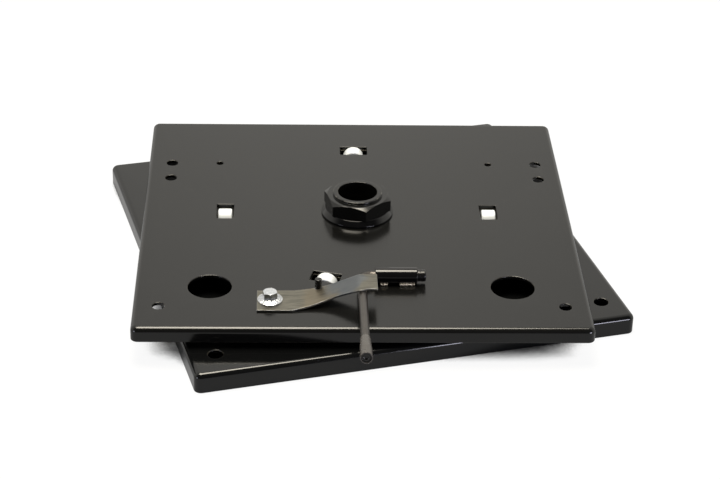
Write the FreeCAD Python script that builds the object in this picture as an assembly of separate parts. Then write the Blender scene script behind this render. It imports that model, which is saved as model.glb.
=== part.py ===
import FreeCAD, Part
import math
import os

# Swivel seat base: two pressed steel trays that turn on each other about a hollow pivot.
# Millimetres. The Z axis is the swivel axis and z = 0 is the lower tray's top face.
# +Y points to the back of the seat. The upper tray lies square to the axes, and the
# lower tray is turned by REST_TURN, as the unit stands with its lock pin out of its hole.

# Trays
SHEET = 3.0
CORNER_RADIUS = 6.5
BEND_RADIUS = 5.0
UPPER_WIDTH = 401.4
UPPER_DEPTH = 392.4
UPPER_HEIGHT = 13.5
UPPER_SETBACK = 11.3
LOWER_WIDTH = 400.0
LOWER_DEPTH = 393.5
LOWER_HEIGHT = 18.0
LOWER_SETBACK = 12.2
LOWER_ASIDE = 1.3
REST_TURN = 14.3

# Bolt holes, measured from the tray's own edges
SEAT_HOLE_DIAMETER = 11.0
SEAT_SIDE_MARGIN = 22.7
SEAT_FRONT_MARGIN = 37.8
SEAT_PITCH = 266.0
SEAT_SECOND_ROW = 30.5
SMALL_HOLE_DIAMETER = 6.5
SMALL_HOLE_INSET = 46.5
BASE_HOLE_DIAMETER = 13.0
BASE_SIDE_MARGIN = 23.0
BASE_FRONT_MARGIN = 29.7
ACCESS_HOLE_DIAMETER = 39.0
ACCESS_SIDE_MARGIN = 66.3
ACCESS_FRONT_MARGIN = 70.5

# Fits
PRESS_FIT = 0.02
RUNNING_FIT = 0.08
SLIP_GAP = 0.1
BARREL_PLAY = 0.3

# Load rollers
ROLLER_DIAMETER = 20.0
ROLLER_LENGTH = 13.0
ROLLER_CHAMFER = 1.3
ROLLER_CROWN = 1.2
ROLLING_GAP = 0.2
AXLE_DIAMETER = 6.0
AXLE_END = 1.5
AXLE_CHAMFER = 0.5
EAR_SHEET = 2.5
EAR_PLAY = 0.5
EAR_WIDTH = 16.0
CRADLE_LAND = 8.5
CRADLE_TIE = 6.0
WINDOW_PLAY = 1.5
WINDOW_LENGTH = 26.5

# Pivot
TUBE_BORE = 36.8
TUBE_WALL = 4.6
TUBE_ABOVE_TRAY = 21.8
TUBE_EDGE = 0.8
FLANGE_DIAMETER = 100.0
FLANGE_THICKNESS = 4.0
FLANGE_WELD_LEG = 3.5
TUBE_WELD_LEG = 3.0
BUSH_WALL = 2.0
BUSH_FLANGE = 2.0
COLLAR_DIAMETER = 64.0
SLIP_RING_DIAMETER = 69.0
SLIP_RING_HEIGHT = 6.5
SLIP_RING_EDGE = 3.0
NUT_FLATS = 56.0
NUT_HEIGHT = 12.8
NUT_TURN = -17.0
NUT_CHAMFER_ANGLE = 30.0

# Latch lever
SHAFT_FROM_FRONT = 78.5
LEVER_DIAMETER = 8.0
LEVER_TILT = 7.5
LEVER_LEAN = 0.6
LEVER_REACH = 170.0
ELBOW_RADIUS = 10.0
BARREL_DIAMETER = 14.5
BARREL_LENGTH = 37.5
BARREL_EDGE = 0.6
ELBOW_TO_BARREL = 2.0
END_CAP_DIAMETER = 10.6
END_CAP_LENGTH = 7.5
END_CAP_FLOOR = 1.6
END_CAP_ROUND = 1.5
HANDLE_SOCKET_DIAMETER = 10.6
HANDLE_SOCKET_LENGTH = 37.0
HANDLE_SOCKET_TAPER = 22.0
HANDLE_SOCKET_LIP = 0.3
HANDLE_SOCKET_MOUTH = 1.0
SOCKET_OVER_ROD = 25.0
END_SCREW_DIAMETER = 5.0
END_SCREW_LENGTH = 8.0
END_SCREW_HEAD_DIAMETER = 8.4
END_SCREW_HEAD = 2.6
END_SCREW_HEX = 4.0
END_SCREW_HEX_DEPTH = 1.6
WELD_RADIUS = 2.4
WELD_LENGTHS = (5.0, 12.0)
WELD_STARTS = (5.5, 22.5)

# Leaf spring and its bolt
SPRING_THICKNESS = 1.8
SPRING_BEHIND_PIN = 0.4
SPRING_ROOT_WIDTH = 33.6
SPRING_WAIST_WIDTH = 23.6
SPRING_HEEL_WIDTH = 27.6
SPRING_TAB_WIDTH = 25.9
SPRING_TAB_LENGTH = 14.8
SPRING_TAB_HOLLOW = 1.0
SPRING_RAMP_ANGLE = 23.0
SPRING_TAB_BEND = 3.0
SPRING_CORNER = 1.0
BOLT_FROM_SPRING_END = 11.5
BOLT_FLAT_LENGTH = 14.5
SPRING_REACH = 79.0
BOLT_DIAMETER = 10.0
BOLT_HOLE_PLAY = 0.3
BOLT_FLANGE_DIAMETER = 22.0
BOLT_FLANGE = 1.4
BOLT_FLANGE_CONE = 1.6
BOLT_HEX_FLATS = 15.0
BOLT_HEAD_HEIGHT = 9.0
BOLT_POINT = 1.0
WELD_NUT_FLATS = 17.0
WELD_NUT_HEIGHT = 8.0

# Lock pin
PIN_DIAMETER = 6.2
PIN_NECK_DIAMETER = 4.0
PIN_NECK_PLAY = 0.15
PIN_HEAD_HEIGHT = 7.6
PIN_EDGE = 0.6
PIN_FROM_SHAFT = 17.4
PIN_FROM_ARM = 38.6
PIN_STANDOFF = 0.1
PIN_HOLE_PLAY = 0.35
PIN_TO_ROLLER_CIRCLE = 27.4
GUIDE_DIAMETER = 12.0
GUIDE_LENGTH = 8.0

# Levels worked out from the sizes above
TRAY_PITCH = ROLLER_DIAMETER + ROLLING_GAP - ROLLER_CROWN
UPPER_TOP = TRAY_PITCH
UPPER_UNDER = UPPER_TOP - SHEET
LOWER_UNDER = -SHEET
ROLLER_AXIS_Z = ROLLING_GAP + ROLLER_DIAMETER / 2
TUBE_DIAMETER = TUBE_BORE + 2 * TUBE_WALL
TUBE_TOP = UPPER_TOP + TUBE_ABOVE_TRAY
TUBE_FOOT = LOWER_UNDER - FLANGE_THICKNESS
FRONT_EDGE = -UPPER_DEPTH / 2 - UPPER_SETBACK
SHAFT_Y = FRONT_EDGE + SHAFT_FROM_FRONT
SHAFT_Z = UPPER_TOP + BARREL_DIAMETER / 2
PIN_X = -PIN_FROM_ARM
PIN_Y = SHAFT_Y - PIN_FROM_SHAFT
LOCK_RADIUS = math.hypot(PIN_X, PIN_Y)
LATCH_ANGLE = math.degrees(math.atan2(PIN_Y, PIN_X))
ROLLER_CIRCLE = LOCK_RADIUS - PIN_TO_ROLLER_CIRCLE
ROLLER_ANGLES = (0.0, 90.0, 180.0, LATCH_ANGLE)
WINDOW_WIDTH = ROLLER_LENGTH + 2 * WINDOW_PLAY

ORIGIN = FreeCAD.Vector(0, 0, 0)
UP = FreeCAD.Vector(0, 0, 1)
ALONG_X = FreeCAD.Vector(1, 0, 0)


def vector(x, y, z=0.0):
    return FreeCAD.Vector(x, y, z)


def turned(shape, angle, centre=ORIGIN, axis=UP):
    """A copy of the shape turned by an angle in degrees."""
    copy = shape.copy()
    copy.rotate(centre, axis, angle)
    return copy


def rod(diameter, start, direction, length):
    return Part.makeCylinder(diameter / 2, length, start, direction)


def upright(diameter, x, y, low, high):
    return rod(diameter, vector(x, y, low), UP, high - low)


def block(x0, x1, y0, y1, z0, z1):
    return Part.makeBox(x1 - x0, y1 - y0, z1 - z0, vector(x0, y0, z0))


def revolved(points):
    """A solid of revolution about Z from (radius, height) points."""
    wire = Part.makePolygon([vector(r, 0, z) for r, z in points + points[:1]])
    return Part.Face(wire).revolve(ORIGIN, UP, 360)


def hexagon(flats, low, high, centre=ORIGIN, angle=0.0):
    """A hexagonal prism with one corner at the given angle."""
    corner = flats / math.sqrt(3)
    turns = [math.radians(angle + 60 * k) for k in range(7)]
    points = [centre + vector(corner * math.cos(t), corner * math.sin(t), low) for t in turns]
    return Part.Face(Part.makePolygon(points)).extrude(vector(0, 0, high - low))


def edges_at(shape, height):
    """All edges that lie in the level plane at one height."""
    return [e for e in shape.Edges
            if abs(e.BoundBox.ZMin - height) < 1e-6 and abs(e.BoundBox.ZMax - height) < 1e-6]


def rims_at(shape, x):
    """All edges that lie in the plane across the X axis at one x."""
    return [e for e in shape.Edges
            if abs(e.BoundBox.XMin - x) < 1e-6 and abs(e.BoundBox.XMax - x) < 1e-6]


# Trays: a flat top with a skirt folded down all round

def pan(width, depth, middle, inset, top, bottom):
    """A closed block with rounded corners and a rounded top edge, drawn in from the tray's sides."""
    half_x = width / 2 - inset
    half_y = depth / 2 - inset
    body = block(middle.x - half_x, middle.x + half_x, middle.y - half_y, middle.y + half_y, bottom, top)
    corners = [e for e in body.Edges if e.BoundBox.ZLength > (top - bottom) / 2]
    body = body.makeFillet(CORNER_RADIUS - inset, corners)
    return body.makeFillet(BEND_RADIUS - inset, edges_at(body, top))


def folded_tray(width, depth, middle, top, height):
    bottom = top - height
    outside = pan(width, depth, middle, 0.0, top, bottom)
    return outside.cut(pan(width, depth, middle, SHEET, top - SHEET, bottom - SHEET))


def drilled(sheet, diameter, places, top):
    """The sheet with a round hole through its flat top at each (x, y) place."""
    holes = [upright(diameter, x, y, top - 2 * SHEET, top + SHEET) for x, y in places]
    return sheet.cut(Part.makeCompound(holes))


def mirrored_pair(x, y):
    return [(-x, y), (x, y)]


def seat_hole_rows():
    front = FRONT_EDGE + SEAT_FRONT_MARGIN
    back = front + SEAT_PITCH
    return front, back, back - SEAT_SECOND_ROW


def upper_tray():
    middle = vector(0, -UPPER_SETBACK)
    sheet = folded_tray(UPPER_WIDTH, UPPER_DEPTH, middle, UPPER_TOP, UPPER_HEIGHT)
    seat_x = UPPER_WIDTH / 2 - SEAT_SIDE_MARGIN
    front, back, second = seat_hole_rows()
    seat_places = [p for row in (front, back, second) for p in mirrored_pair(seat_x, row)]
    sheet = drilled(sheet, SEAT_HOLE_DIAMETER, seat_places, UPPER_TOP)
    small_places = mirrored_pair(seat_x - SMALL_HOLE_INSET, back)
    sheet = drilled(sheet, SMALL_HOLE_DIAMETER, small_places, UPPER_TOP)
    access_places = mirrored_pair(UPPER_WIDTH / 2 - ACCESS_SIDE_MARGIN, FRONT_EDGE + ACCESS_FRONT_MARGIN)
    sheet = drilled(sheet, ACCESS_HOLE_DIAMETER, access_places, UPPER_TOP)
    sheet = drilled(sheet, bush_outside() + 2 * PRESS_FIT, [(0, 0)], UPPER_TOP)
    sheet = drilled(sheet, PIN_DIAMETER + 2 * PIN_HOLE_PLAY, [(PIN_X, PIN_Y)], UPPER_TOP)
    bolt_x, bolt_y = bolt_place()
    sheet = drilled(sheet, BOLT_DIAMETER + 2 * BOLT_HOLE_PLAY, [(bolt_x, bolt_y)], UPPER_TOP)
    half_w = WINDOW_WIDTH / 2
    half_l = WINDOW_LENGTH / 2
    window = block(ROLLER_CIRCLE - half_w, ROLLER_CIRCLE + half_w, -half_l, half_l,
                   UPPER_TOP - 2 * SHEET, UPPER_TOP + SHEET)
    return sheet.cut(Part.makeCompound([turned(window, a) for a in ROLLER_ANGLES]))


def lower_tray():
    """The skirt is folded a little off the middle, and the holes are punched about the pivot."""
    middle = vector(-LOWER_ASIDE, -LOWER_SETBACK)
    sheet = folded_tray(LOWER_WIDTH, LOWER_DEPTH, middle, 0.0, LOWER_HEIGHT)
    base_x = LOWER_WIDTH / 2 - BASE_SIDE_MARGIN
    front = middle.y - LOWER_DEPTH / 2 + BASE_FRONT_MARGIN
    base_places = mirrored_pair(base_x, front) + mirrored_pair(base_x, front + SEAT_PITCH)
    sheet = drilled(sheet, BASE_HOLE_DIAMETER, base_places, 0.0)
    lock_places = [(PIN_X, PIN_Y), (-PIN_X, -PIN_Y)]
    sheet = drilled(sheet, PIN_DIAMETER + 2 * PIN_HOLE_PLAY, lock_places, 0.0)
    sheet = drilled(sheet, TUBE_DIAMETER + 2 * PRESS_FIT, [(0, 0)], 0.0)
    return turned(sheet, REST_TURN)


# Pivot: a tube through both trays, held by a flange below and by a nut above

def pivot_tube():
    bore = TUBE_BORE / 2
    outside = TUBE_DIAMETER / 2
    return revolved([
        (bore, TUBE_FOOT), (outside, TUBE_FOOT), (outside, TUBE_TOP - TUBE_EDGE),
        (outside - TUBE_EDGE, TUBE_TOP), (bore, TUBE_TOP)])


def pivot_flange():
    """A ring under the lower tray, welded to the tube inside it and to the tray around it."""
    bore = TUBE_DIAMETER / 2 + PRESS_FIT
    outside = FLANGE_DIAMETER / 2
    return revolved([
        (bore, TUBE_FOOT + TUBE_WELD_LEG), (bore + TUBE_WELD_LEG, TUBE_FOOT), (outside, TUBE_FOOT),
        (outside, LOWER_UNDER), (bore, LOWER_UNDER)])


def pivot_tube_weld():
    bore = TUBE_DIAMETER / 2
    return revolved([
        (bore, TUBE_FOOT), (bore + PRESS_FIT + TUBE_WELD_LEG, TUBE_FOOT),
        (bore + PRESS_FIT, TUBE_FOOT + TUBE_WELD_LEG), (bore, TUBE_FOOT + TUBE_WELD_LEG)])


def pivot_flange_weld():
    flange = FLANGE_DIAMETER / 2
    return revolved([
        (flange, LOWER_UNDER), (flange, LOWER_UNDER - FLANGE_WELD_LEG),
        (flange + FLANGE_WELD_LEG, LOWER_UNDER)])


def bush_outside():
    return TUBE_DIAMETER + 2 * RUNNING_FIT + 2 * BUSH_WALL


def pivot_bush():
    """A flanged bush: its sleeve lines the upper tray's hole and its flange bears on the collar."""
    bore = TUBE_DIAMETER / 2 + RUNNING_FIT
    sleeve = bush_outside() / 2
    flange = COLLAR_DIAMETER / 2
    low = UPPER_UNDER - BUSH_FLANGE
    return revolved([(bore, low), (flange, low), (flange, UPPER_UNDER), (sleeve, UPPER_UNDER),
                     (sleeve, UPPER_TOP), (bore, UPPER_TOP)])


def spacer_collar():
    bore = TUBE_DIAMETER / 2 + PRESS_FIT
    outside = COLLAR_DIAMETER / 2
    high = UPPER_UNDER - BUSH_FLANGE - SLIP_GAP
    return revolved([(bore, 0.0), (outside, 0.0), (outside, high), (bore, high)])


def slip_ring():
    low = UPPER_TOP + SLIP_GAP
    high = UPPER_TOP + SLIP_RING_HEIGHT
    outside = SLIP_RING_DIAMETER / 2
    bore = TUBE_DIAMETER / 2 + PRESS_FIT
    ring = revolved([(bore, low), (outside, low), (outside, high), (bore, high)])
    for height, radius in ((high, SLIP_RING_EDGE), (low, SLIP_RING_EDGE / 3)):
        rim = [e for e in edges_at(ring, height) if e.BoundBox.XMax > outside - SLIP_GAP]
        ring = ring.makeFillet(radius, rim)
    return ring


def pivot_nut():
    low = UPPER_TOP + SLIP_RING_HEIGHT
    high = low + NUT_HEIGHT
    blank = hexagon(NUT_FLATS, low, high, angle=NUT_TURN)
    flat_radius = NUT_FLATS / 2
    corner = NUT_FLATS / math.sqrt(3)
    drop = (corner - flat_radius) * math.tan(math.radians(NUT_CHAMFER_ANGLE))
    barrel = revolved([(0, low), (corner, low), (corner, high - drop), (flat_radius, high), (0, high)])
    bore = upright(TUBE_DIAMETER + 2 * PRESS_FIT, 0, 0, low - SHEET, high + SHEET)
    return blank.common(barrel).cut(bore)


# Rollers: four of them on radial axles in cradles under the upper tray

def at_station(shape, angle):
    """A shape drawn about the roller's centre, x radial and y tangential, put at its station."""
    copy = shape.copy()
    copy.translate(vector(ROLLER_CIRCLE, 0, ROLLER_AXIS_Z))
    return turned(copy, angle)


def roller():
    half = ROLLER_LENGTH / 2
    body = rod(ROLLER_DIAMETER, vector(-half, 0), ALONG_X, ROLLER_LENGTH)
    rims = rims_at(body, -half) + rims_at(body, half)
    body = body.makeChamfer(ROLLER_CHAMFER, rims)
    bore = rod(AXLE_DIAMETER + 2 * RUNNING_FIT, vector(-ROLLER_LENGTH, 0), ALONG_X, 2 * ROLLER_LENGTH)
    return body.cut(bore)


def ear_inside():
    return ROLLER_LENGTH / 2 + EAR_PLAY


def ear_outside():
    return ear_inside() + EAR_SHEET


def roller_axle():
    """A plain pin pressed into both ears, with chamfered ends that stand out of them."""
    end = ear_outside() + AXLE_END
    pin = rod(AXLE_DIAMETER, vector(-end, 0), ALONG_X, 2 * end)
    return pin.makeChamfer(AXLE_CHAMFER, rims_at(pin, -end) + rims_at(pin, end))


def roller_cradle():
    """A sheet frame around the window with two ears folded down to carry the axle."""
    top = UPPER_UNDER - ROLLER_AXIS_Z
    reach = ear_outside() + CRADLE_LAND
    side = WINDOW_LENGTH / 2 + CRADLE_TIE
    half_l = WINDOW_LENGTH / 2
    plate = block(-reach, reach, -side, side, top - EAR_SHEET, top)
    opening = block(-ear_inside(), ear_inside(), -half_l, half_l, top - 2 * EAR_SHEET, top + EAR_SHEET)
    frame = plate.cut(opening)
    for start in (-ear_outside(), ear_inside()):
        stem = block(start, start + EAR_SHEET, -EAR_WIDTH / 2, EAR_WIDTH / 2, 0.0, top)
        eye = rod(EAR_WIDTH, vector(start, 0), ALONG_X, EAR_SHEET)
        lower_half = block(start, start + EAR_SHEET, -EAR_WIDTH, EAR_WIDTH, -EAR_WIDTH, 0.0)
        frame = frame.fuse(stem).fuse(eye.common(lower_half))
    bore = rod(AXLE_DIAMETER + 2 * PRESS_FIT, vector(-2 * reach, 0), ALONG_X, 4 * reach)
    return frame.removeSplitter().cut(bore)


# Latch lever: an L-shaped rod turning in a barrel that is welded to the upper tray

def barrel_start():
    return ELBOW_RADIUS + ELBOW_TO_BARREL


def lever_raised(shape):
    """The lever's parts are drawn level and then tilted up about the shaft."""
    return turned(shape, -LEVER_TILT, vector(0, SHAFT_Y, SHAFT_Z), ALONG_X)


def elbow_end(angle):
    """The point of the elbow's centre line where it has turned through an angle from the shaft."""
    t = math.radians(angle)
    return vector(ELBOW_RADIUS * (1 - math.sin(t)), SHAFT_Y - ELBOW_RADIUS * (1 - math.cos(t)), SHAFT_Z)


def arm_point(distance):
    """The point of the level arm's centre line at a distance from the shaft."""
    lean = math.radians(LEVER_LEAN)
    start = elbow_end(90 - LEVER_LEAN)
    past = distance - ELBOW_RADIUS
    return start + vector(-past * math.sin(lean), -past * math.cos(lean))


def lever_barrel():
    start = vector(barrel_start(), SHAFT_Y, SHAFT_Z)
    barrel = rod(BARREL_DIAMETER, start, ALONG_X, BARREL_LENGTH)
    ends = rims_at(barrel, start.x) + rims_at(barrel, start.x + BARREL_LENGTH)
    barrel = barrel.makeChamfer(BARREL_EDGE, ends)
    return barrel.cut(rod(LEVER_DIAMETER + 2 * RUNNING_FIT, start - ALONG_X, ALONG_X, BARREL_LENGTH + 2))


def barrel_welds():
    """Four beads in the corner between the barrel and the tray."""
    barrel = rod(BARREL_DIAMETER, vector(0, SHAFT_Y, SHAFT_Z), ALONG_X, UPPER_WIDTH)
    tray = block(0, UPPER_WIDTH, -UPPER_DEPTH, UPPER_DEPTH, -UPPER_DEPTH, UPPER_TOP)
    aside = math.sqrt(BARREL_DIAMETER * WELD_RADIUS) - WELD_RADIUS / 6
    beads = []
    for side in (-1, 1):
        for start, length in zip(WELD_STARTS, WELD_LENGTHS):
            near = vector(barrel_start() + start, SHAFT_Y + side * aside, UPPER_TOP + 0.8 * WELD_RADIUS)
            bead = rod(2 * WELD_RADIUS, near, ALONG_X, length)
            bead = bead.fuse(Part.makeSphere(WELD_RADIUS, near))
            bead = bead.fuse(Part.makeSphere(WELD_RADIUS, near + ALONG_X * length))
            beads.append(bead.cut(barrel).cut(tray))
    return Part.makeCompound([s for b in beads for s in b.Solids])


def lever_rod():
    """The shaft, the elbow and the arm as one bent bar."""
    shaft_end = barrel_start() + BARREL_LENGTH + BARREL_PLAY + END_CAP_LENGTH - END_CAP_FLOOR
    arm_end = LEVER_REACH - HANDLE_SOCKET_LENGTH + SOCKET_OVER_ROD
    start = vector(shaft_end, SHAFT_Y, SHAFT_Z)
    turn = 90 - LEVER_LEAN
    path = Part.Wire([
        Part.makeLine(start, elbow_end(0.0)),
        Part.Arc(elbow_end(0.0), elbow_end(turn / 2), elbow_end(turn)).toShape(),
        Part.makeLine(elbow_end(turn), arm_point(arm_end))])
    section = Part.Wire(Part.makeCircle(LEVER_DIAMETER / 2, start, ALONG_X))
    return lever_raised(path.makePipeShell([section], True, False))


def lever_end_cap():
    start = vector(barrel_start() + BARREL_LENGTH + BARREL_PLAY, SHAFT_Y, SHAFT_Z)
    cap = rod(END_CAP_DIAMETER, start, ALONG_X, END_CAP_LENGTH)
    cap = cap.makeFillet(END_CAP_ROUND, rims_at(cap, start.x + END_CAP_LENGTH))
    bore = rod(LEVER_DIAMETER + 2 * PRESS_FIT, start - ALONG_X, ALONG_X,
               END_CAP_LENGTH - END_CAP_FLOOR + 1)
    return cap.cut(bore)


def along_arm(shape):
    """A shape drawn upright about Z, z being the distance from the shaft, laid along the arm."""
    copy = turned(turned(shape, 90, ORIGIN, ALONG_X), -LEVER_LEAN)
    copy.translate(arm_point(0.0))
    return lever_raised(copy)


def handle_socket():
    """A flared ferrule over the arm's end, threaded for the end screw and hollowed at its mouth."""
    begin = LEVER_REACH - HANDLE_SOCKET_LENGTH
    rod_end = begin + SOCKET_OVER_ROD
    mouth = LEVER_REACH - END_SCREW_HEAD - HANDLE_SOCKET_MOUTH
    rod_r = LEVER_DIAMETER / 2 + PRESS_FIT
    screw_r = END_SCREW_DIAMETER / 2 + PRESS_FIT
    mouth_r = END_SCREW_HEAD_DIAMETER / 2 + PRESS_FIT
    outside = HANDLE_SOCKET_DIAMETER / 2
    return along_arm(revolved([
        (rod_r, begin), (rod_r + HANDLE_SOCKET_LIP, begin), (outside, begin + HANDLE_SOCKET_TAPER),
        (outside, LEVER_REACH), (mouth_r, LEVER_REACH), (mouth_r, mouth), (screw_r, mouth),
        (screw_r, rod_end), (rod_r, rod_end)]))


def lever_end_screw():
    seat = LEVER_REACH - END_SCREW_HEAD - HANDLE_SOCKET_MOUTH
    face = seat + END_SCREW_HEAD
    shank = upright(END_SCREW_DIAMETER, 0, 0, seat - END_SCREW_LENGTH, seat)
    head = upright(END_SCREW_HEAD_DIAMETER, 0, 0, seat, face)
    head = head.makeFillet(PIN_EDGE, edges_at(head, face)[:1])
    drive = hexagon(END_SCREW_HEX, face - END_SCREW_HEX_DEPTH, face + END_SCREW_HEX_DEPTH)
    return along_arm(shank.fuse(head).cut(drive))


# Leaf spring: flat under its bolt, curved up a ramp, flat again over the lever's arm

def ramp_top_x():
    return -LEVER_DIAMETER / 4


def bolt_place():
    return ramp_top_x() - SPRING_REACH, spring_rear() - SPRING_ROOT_WIDTH / 2


def spring_rear():
    return PIN_Y + SPRING_BEHIND_PIN


def spring_ends():
    return bolt_place()[0] - BOLT_FROM_SPRING_END, ramp_top_x() + SPRING_TAB_LENGTH


def tab_underside():
    """The tab rests just clear of the tilted arm, measured above the tray."""
    reach = SHAFT_Y - spring_rear() + SPRING_TAB_WIDTH
    tilt = math.radians(LEVER_TILT)
    rise = reach * math.tan(tilt) + LEVER_DIAMETER / 2 / math.cos(tilt)
    return BARREL_DIAMETER / 2 + rise + SLIP_GAP


def spring_curve():
    """Start of the curve, its outer radius, and the ends of the ramp, on the strip's underside."""
    slope = math.radians(SPRING_RAMP_ANGLE)
    start = bolt_place()[0] + BOLT_FLAT_LENGTH
    top = tab_underside()
    ramp_x = ramp_top_x() - SPRING_TAB_BEND * math.sin(slope)
    ramp_z = top - SPRING_TAB_BEND * (1 - math.cos(slope))
    radius = ((math.tan(slope) * (ramp_x - start) - ramp_z)
              / (math.tan(slope) * math.sin(slope) - (1 - math.cos(slope))))
    return start, radius, ramp_x, ramp_z, top


def spring_underside_at(x):
    start, radius, ramp_x, ramp_z, top = spring_curve()
    if x <= start:
        return 0.0
    return radius - math.sqrt(radius ** 2 - (x - start) ** 2)


def spring_profile():
    """The strip's long section as a closed face in the plane y = 0."""
    slope = math.radians(SPRING_RAMP_ANGLE)
    start, radius, ramp_x, ramp_z, top = spring_curve()
    left, right = spring_ends()

    def side(offset):
        """One long side of the section, raised from the underside by offset."""
        bend = radius - offset
        tight = SPRING_TAB_BEND + offset

        def on_curve(angle):
            return vector(start + bend * math.sin(angle), 0, radius - bend * math.cos(angle))

        def on_bend(angle):
            return vector(ramp_top_x() - tight * math.sin(angle), 0,
                          top - SPRING_TAB_BEND + tight * math.cos(angle))

        return [
            Part.makeLine(vector(left, 0, offset), on_curve(0.0)),
            Part.Arc(on_curve(0.0), on_curve(slope / 2), on_curve(slope)).toShape(),
            Part.makeLine(on_curve(slope), on_bend(slope)),
            Part.Arc(on_bend(slope), on_bend(slope / 2), on_bend(0.0)).toShape(),
            Part.makeLine(on_bend(0.0), vector(right, 0, top + offset))]

    left_end = Part.makeLine(vector(left, 0, 0), vector(left, 0, SPRING_THICKNESS))
    right_end = Part.makeLine(vector(right, 0, top), vector(right, 0, top + SPRING_THICKNESS))
    edges = side(0.0) + [right_end] + side(SPRING_THICKNESS)[::-1] + [left_end]
    return Part.Face(Part.Wire(edges))


def spring_outline():
    """The strip's plan: a straight rear edge and a front edge that waists and flares."""
    rear = spring_rear()
    left, right = spring_ends()
    start = bolt_place()[0] + BOLT_FLAT_LENGTH
    heel = ramp_top_x()
    waist = start + (heel - start) * 0.66
    shoulder = start + (waist - start) / 2
    middle_width = (SPRING_ROOT_WIDTH + SPRING_WAIST_WIDTH) / 2
    front = Part.BSplineCurve()
    front.interpolate(Points=[
        vector(start + BOLT_FLAT_LENGTH / 3, rear - SPRING_ROOT_WIDTH), vector(shoulder, rear - middle_width),
        vector(waist, rear - SPRING_WAIST_WIDTH), vector(heel, rear - SPRING_HEEL_WIDTH)])
    tab_middle = vector((heel + right) / 2, rear - SPRING_TAB_WIDTH + SPRING_TAB_HOLLOW)
    tab_corner = vector(right, rear - SPRING_TAB_WIDTH)
    edges = [
        Part.makeLine(vector(left, rear), vector(left, rear - SPRING_ROOT_WIDTH)),
        Part.makeLine(vector(left, rear - SPRING_ROOT_WIDTH), front.StartPoint),
        front.toShape(),
        Part.Arc(front.EndPoint, tab_middle, tab_corner).toShape(),
        Part.makeLine(tab_corner, vector(right, rear)),
        Part.makeLine(vector(right, rear), vector(left, rear))]
    return Part.Face(Part.Wire(edges))


def leaf_spring():
    reach = BARREL_DIAMETER + tab_underside()
    strip = spring_profile().extrude(vector(0, -UPPER_DEPTH, 0))
    strip = strip.common(spring_outline().extrude(vector(0, 0, 2 * reach)))
    corners = [e for e in strip.Edges
               if e.BoundBox.ZLength > SPRING_THICKNESS / 2 and e.BoundBox.XLength < 1e-6
               and e.BoundBox.YLength < 1e-6]
    strip = strip.makeFillet(SPRING_CORNER, corners)
    bolt_x, bolt_y = bolt_place()
    hole = upright(BOLT_DIAMETER + 2 * BOLT_HOLE_PLAY, bolt_x, bolt_y, -reach, reach)
    notch_width = PIN_NECK_DIAMETER + 2 * PIN_NECK_PLAY
    notch = upright(notch_width, PIN_X, PIN_Y, -reach, 2 * reach)
    notch = notch.fuse(block(PIN_X - notch_width / 2, PIN_X + notch_width / 2, PIN_Y, PIN_Y + notch_width,
                             -reach, 2 * reach))
    strip = strip.cut(hole).cut(notch)
    strip.translate(vector(0, 0, UPPER_TOP))
    return strip


def spring_bolt():
    """A flanged hexagon bolt through the strip and the tray into a weld nut."""
    x, y = bolt_place()
    seat = UPPER_TOP + SPRING_THICKNESS
    flange = BOLT_FLANGE_DIAMETER / 2
    neck = BOLT_HEX_FLATS / 2
    top = seat + BOLT_HEAD_HEIGHT
    cone_top = seat + BOLT_FLANGE + BOLT_FLANGE_CONE
    base = revolved([(0, seat), (flange, seat), (flange, seat + BOLT_FLANGE), (neck, cone_top),
                     (0, cone_top)])
    corner = BOLT_HEX_FLATS / math.sqrt(3)
    drop = (corner - neck) * math.tan(math.radians(NUT_CHAMFER_ANGLE))
    barrel = revolved([(0, seat), (corner, seat), (corner, top - drop), (neck, top), (0, top)])
    head = hexagon(BOLT_HEX_FLATS, seat, top, angle=NUT_TURN).common(barrel)
    tail = UPPER_UNDER - WELD_NUT_HEIGHT - BOLT_POINT
    shank = rod(BOLT_DIAMETER, vector(0, 0, tail), UP, seat - tail)
    shank = shank.makeChamfer(BOLT_POINT / 2, edges_at(shank, tail))
    bolt = base.fuse(head).fuse(shank)
    bolt.translate(vector(x, y))
    return bolt


def spring_weld_nut():
    x, y = bolt_place()
    low = UPPER_UNDER - WELD_NUT_HEIGHT
    nut = hexagon(WELD_NUT_FLATS, low, UPPER_UNDER, vector(x, y))
    return nut.cut(upright(BOLT_DIAMETER + 2 * PRESS_FIT, x, y, low - SHEET, UPPER_TOP))


# Lock pin: its neck sits in the strip's notch, so the strip pushes it down and lifts it

def lock_pin():
    """The strip slopes at the pin, so the neck is longer than the strip is thick."""
    pin = PIN_DIAMETER / 2
    neck = PIN_NECK_DIAMETER / 2
    high_side = spring_underside_at(PIN_X + pin) + SPRING_THICKNESS * 1.05 + PIN_NECK_PLAY
    low_side = spring_underside_at(PIN_X - pin) - PIN_NECK_PLAY
    head_base = UPPER_TOP + high_side
    shoulder = UPPER_TOP + low_side
    head_top = head_base + PIN_HEAD_HEIGHT
    tip = PIN_STANDOFF
    body = revolved([
        (0, tip), (pin - PIN_EDGE, tip), (pin, tip + PIN_EDGE), (pin, shoulder), (neck, shoulder),
        (neck, head_base), (pin, head_base), (pin, head_top - PIN_EDGE), (pin - PIN_EDGE, head_top),
        (0, head_top)])
    body.translate(vector(PIN_X, PIN_Y))
    return body


def pin_guide():
    low = UPPER_UNDER - GUIDE_LENGTH
    guide = upright(GUIDE_DIAMETER, PIN_X, PIN_Y, low, UPPER_UNDER)
    return guide.cut(upright(PIN_DIAMETER + 2 * RUNNING_FIT, PIN_X, PIN_Y, low - SHEET, UPPER_TOP))


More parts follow.
